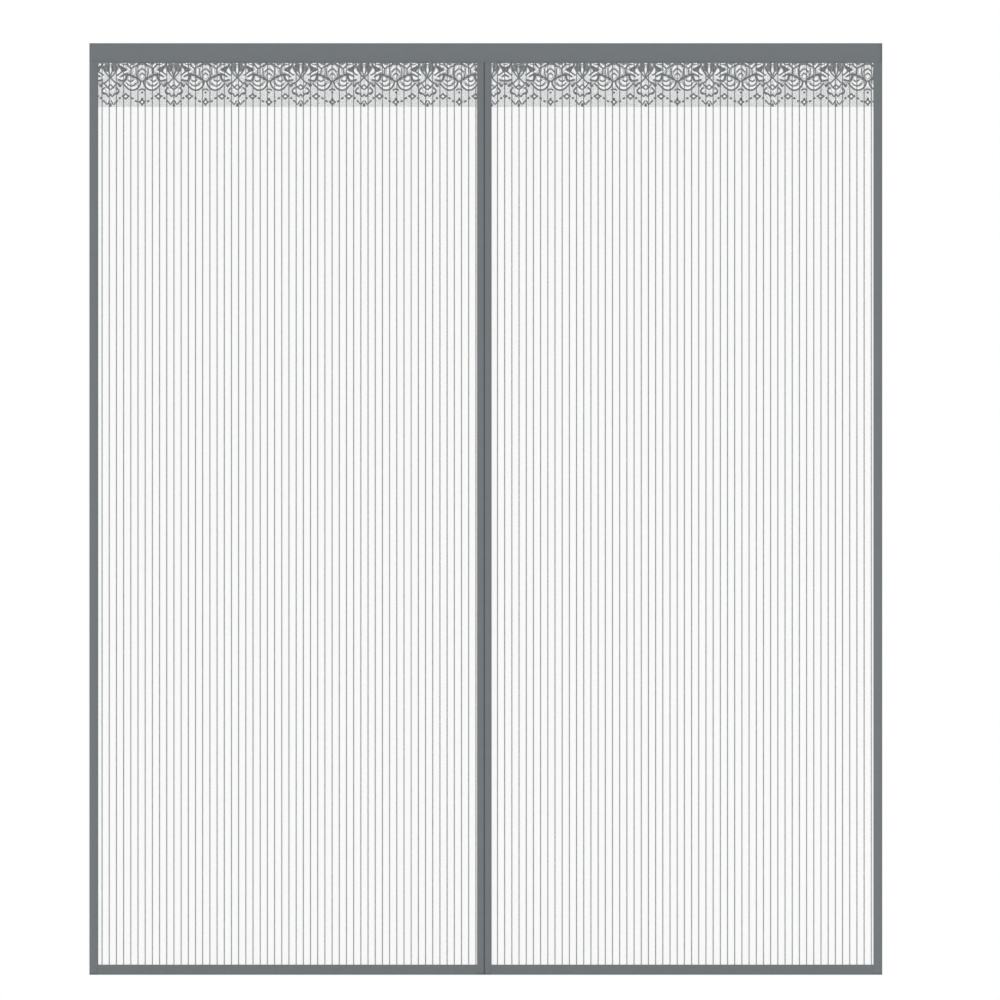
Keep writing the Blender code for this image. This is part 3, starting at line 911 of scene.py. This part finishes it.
class SCREEN_OT_stitching(bpy.types.Operator):
    """Sew the rows of stitches along every tape, front and back"""

    bl_idname = "insect_screen.stitching"
    bl_label = "Stitching"

    def execute(self, context):
        settings = context.scene.insect_screen.tape
        thread = made_once(twisted_yarn, "polyester_sewing_thread", tone=settings.tone,
                           twist=THREAD_TWIST, roughness=0.6)
        # The overcast stitches are real thread, and their darker colour is painted shade of the groove where
        # the two sleeves meet.
        shade_edge_thread = made_once(twisted_yarn, "polyester_overcast_thread", tone=settings.edge_shade_tone,
                                twist=THREAD_TWIST, roughness=0.7)
        for name, tape in border_tapes(settings).items():
            shape = bmesh.new()
            for y in (tape.front, tape.back):
                stitch_row(shape, tape, settings, tape.width - settings.seam_margin, y)
                if tape.direction == "level":
                    stitch_row(shape, tape, settings, settings.seam_margin + FOLD_SEAM, y)
            axis = 2 if tape.direction == "upright" else 0
            for vert in shape.verts:
                vert.co.y += pucker(vert.co[axis], settings)
            stitches = add_piece(f"stitches_{name}", shape, thread)
            if name.startswith("sleeve_tape"):
                edge = bmesh.new()
                overcast_edge(edge, tape, settings)
                for vert in edge.verts:
                    vert.co.y += pucker(vert.co.z, settings)
                add_piece(f"overcast_{name}", edge, shade_edge_thread)
        return {"FINISHED"}


class SCREEN_OT_net(bpy.types.Operator):
    """Weave the net of both panels"""

    bl_idname = "insect_screen.net"
    bl_label = "Net"

    def execute(self, context):
        settings = context.scene.insect_screen.net
        yarn = made_once(drawn_net_yarn, "polyester_net_yarn", tone=settings.tone)
        for word in SIDES:
            low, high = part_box(f"mesh_panel_{word}")
            middle = (low + high) / 2
            shape = bmesh.new()
            for axis, lift in ((0, YARN_LIFT), (2, -YARN_LIFT)):
                count = int((high[axis] - low[axis] - settings.thread) / settings.pitch)
                size = high - low
                size.y = settings.thread
                size[axis] = settings.thread
                place = middle.copy()
                place.y += lift * settings.thread
                place[axis] -= count * settings.pitch / 2
                yarns = bmesh.new()
                stretch = Matrix.Translation(place) @ Matrix.Diagonal((*size, 1))
                bmesh.ops.create_cube(yarns, size=1, matrix=stretch)
                step = Vector((0, 0, 0))
                step[axis] = settings.pitch
                add_row(shape, yarns, step, count + 1)
            add_piece(f"net_{word}", shape, yarn, [f"mesh_panel_{word}"], smooth=False)
        return {"FINISHED"}


class SCREEN_OT_stripes(bpy.types.Operator):
    """Lay the bulked yarns of the stripes into the net"""

    bl_idname = "insect_screen.stripes"
    bl_label = "Stripes"

    def execute(self, context):
        settings = context.scene.insect_screen.net
        yarn = made_once(twisted_yarn, "polyester_bulked_yarn", tone=settings.stripe_tone,
                         twist=STRIPE_TWIST, roughness=0.85)
        for word in SIDES:
            low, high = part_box(f"mesh_panel_{word}")
            middle = (low + high) / 2
            shape = bmesh.new()
            strands = bmesh.new()
            spread = settings.stripe_yarn * STRIPE_YARN_SPACING
            for strand in range(settings.stripe_yarns):
                x = shown_net(word)[0] + FIRST_STRIPE[word]
                x += (strand - (settings.stripe_yarns - 1) / 2) * spread
                bmesh.ops.create_cone(
                    strands, cap_ends=True, segments=STRIPE_YARN_SIDES, radius1=settings.stripe_yarn / 2,
                    radius2=settings.stripe_yarn / 2, depth=high.z - low.z,
                    matrix=Matrix.Translation((x, middle.y, middle.z)))
            add_row(shape, strands, Vector((STRIPE_PITCH, 0, 0)), STRIPE_COUNT)
            stripes = add_piece(f"stripes_{word}", shape, yarn)
        return {"FINISHED"}


class SCREEN_OT_lace(bpy.types.Operator):
    """Work the lace border: its fine ground and the flat cords of its flowers"""

    bl_idname = "insect_screen.lace"
    bl_label = "Lace"

    def execute(self, context):
        settings = context.scene.insect_screen.lace
        fine = made_once(twisted_yarn, "polyester_lace_ground_yarn", tone=settings.tone,
                         twist=GROUND_TWIST, roughness=0.8)
        cord = made_once(twisted_yarn, "polyester_lace_cord", tone=settings.tone,
                         twist=CORD_TWIST, roughness=0.8)
        ground_mesh = ground_cell()
        cord_mesh = cord_cell()
        for word in SIDES:
            ground = add_piece(f"lace_ground_{word}", lace_panel(ground_mesh, word), fine,
                               [f"lace_trim_{word}"], smooth=False)
            cords = add_piece(f"lace_cords_{word}", lace_panel(cord_mesh, word), cord)
        bpy.data.meshes.remove(ground_mesh)
        bpy.data.meshes.remove(cord_mesh)
        return {"FINISHED"}


class SCREEN_OT_fasteners(bpy.types.Operator):
    """Make the loop tapes behind the border and the hook tapes that stick to the door frame"""

    bl_idname = "insect_screen.fasteners"
    bl_label = "Hook and loop tapes"

    def execute(self, context):
        pile = made_once(brushed_pile, "nylon_loop_pile_brushed")
        film = made_once(adhesive_backing, "nylon_hook_tape_adhesive")
        for word in ("header", "left", "right"):
            low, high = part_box(f"loop_tape_{word}")
            loops = add_piece(f"loops_{word}", band(low, high), pile, [f"loop_tape_{word}"])
            low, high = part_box(f"hook_tape_{word}")
            add_piece(f"hooks_{word}", band(low, high, HOOK_ROWS, HOOK_HEIGHT), film,
                      [f"hook_tape_{word}"])
        return {"FINISHED"}


class SCREEN_OT_magnets(bpy.types.Operator):
    """Give the bar magnets inside the sleeves their pressed ferrite finish"""

    bl_idname = "insect_screen.magnets"
    bl_label = "Magnets"

    def execute(self, context):
        ferrite = made_once(pressed_ferrite, "ferrite_pressed")
        for name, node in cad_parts.items():
            if name.startswith("magnet_left_") or name.startswith("magnet_right_"):
                node.material_slots[0].material = ferrite
        return {"FINISHED"}


class SCREEN_OT_stage(bpy.types.Operator):
    """Set the floor, the plain white surroundings, the soft light and the camera"""

    bl_idname = "insect_screen.stage"
    bl_label = "Stage"

    def execute(self, context):
        settings = context.scene.insect_screen.stage
        scene = context.scene
        scene.view_settings.view_transform = "Standard"
        world = bpy.data.worlds.new("white_surroundings")
        world.use_nodes = True
        tree = world.node_tree
        rays = add_node(tree, "ShaderNodeLightPath", {})
        gloss = add_node(tree, "ShaderNodeMath", {
            0: rays.outputs["Is Glossy Ray"], 1: rays.outputs["Is Transmission Ray"]}, operation="MAXIMUM")
        seen = add_node(tree, "ShaderNodeMath", {
            0: rays.outputs["Is Camera Ray"], 1: gloss.outputs[0]}, operation="MAXIMUM")
        strength = add_node(tree, "ShaderNodeMix", {0: seen.outputs[0], 2: settings.sky, 3: 1.0})
        background = tree.nodes["Background"]
        background.inputs["Color"].default_value = colour("FFFFFF")
        tree.links.new(strength.outputs[0], background.inputs["Strength"])
        scene.world = world
        lamps = (("key_lamp", settings.key, KEY_LAMP_FROM), ("rear_lamp", settings.rear, REAR_LAMP_FROM))
        for name, energy, place in lamps:
            lamp = bpy.data.objects.new(name, bpy.data.lights.new(name, "SUN"))
            lamp.data.energy = energy
            lamp.data.angle = LAMP_SOFTNESS
            lamp.rotation_euler = Vector(place).to_track_quat("Z", "Y").to_euler()
            scene.collection.objects.link(lamp)
        floor_level = CAD_BOUNDS[0].z - settings.floor_drop
        shape = bmesh.new()
        bmesh.ops.create_grid(shape, x_segments=1, y_segments=1, size=settings.floor_size / 2,
                              matrix=Matrix.Translation((0, 0, floor_level)))
        mesh = mesh_of(shape, "floor")
        mesh.materials.append(made_once(painted_floor, "plaster_floor_painted"))
        floor = bpy.data.objects.new("floor", mesh)
        scene.collection.objects.link(floor)
        camera = bpy.data.objects.new("camera", bpy.data.cameras.new("camera"))
        camera.data.type = "ORTHO"
        camera.data.ortho_scale = settings.view_width
        camera.location = (settings.view_side, -CAMERA_DISTANCE, settings.view_height)
        camera.rotation_euler = (math.pi / 2, 0, 0)
        scene.collection.objects.link(camera)
        scene.camera = camera
        return {"FINISHED"}


OPERATORS = (SCREEN_OT_border, SCREEN_OT_stitching, SCREEN_OT_net, SCREEN_OT_stripes, SCREEN_OT_lace,
             SCREEN_OT_fasteners, SCREEN_OT_magnets, SCREEN_OT_stage)


class SCREEN_PT_panel(bpy.types.Panel):
    """Settings and steps of the insect screen"""

    bl_idname = "SCREEN_PT_panel"
    bl_label = "Insect screen"
    bl_space_type = "VIEW_3D"
    bl_region_type = "UI"
    bl_category = "Insect Screen"

    def draw(self, context):
        settings = context.scene.insect_screen
        for group in (settings.tape, settings.net, settings.lace, settings.stage):
            box = self.layout.box()
            for name in group.bl_rna.properties.keys():
                if name not in ("rna_type", "name"):
                    box.prop(group, name)
        for operator in OPERATORS:
            self.layout.operator(operator.bl_idname)


CLASSES = (TapeSettings, NetSettings, LaceSettings, StageSettings, ScreenSettings, *OPERATORS,
           SCREEN_PT_panel)


def register():
    """Adds the settings, the steps and the panel to Blender."""
    for cls in CLASSES:
        bpy.utils.register_class(cls)
    bpy.types.Scene.insect_screen = bpy.props.PointerProperty(
        type=ScreenSettings, name="Insect screen", description="Settings of the insect screen")


def unregister():
    """Takes the settings, the steps and the panel out again."""
    del bpy.types.Scene.insect_screen
    for cls in reversed(CLASSES):
        bpy.utils.unregister_class(cls)


def main():
    """Makes the whole screen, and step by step."""
    register()
    bpy.ops.insect_screen.border()
    bpy.ops.insect_screen.stitching()
    bpy.ops.insect_screen.net()
    bpy.ops.insect_screen.stripes()
    bpy.ops.insect_screen.lace()
    bpy.ops.insect_screen.fasteners()
    bpy.ops.insect_screen.magnets()
    bpy.ops.insect_screen.stage()


if __name__ == "__main__":
    main()
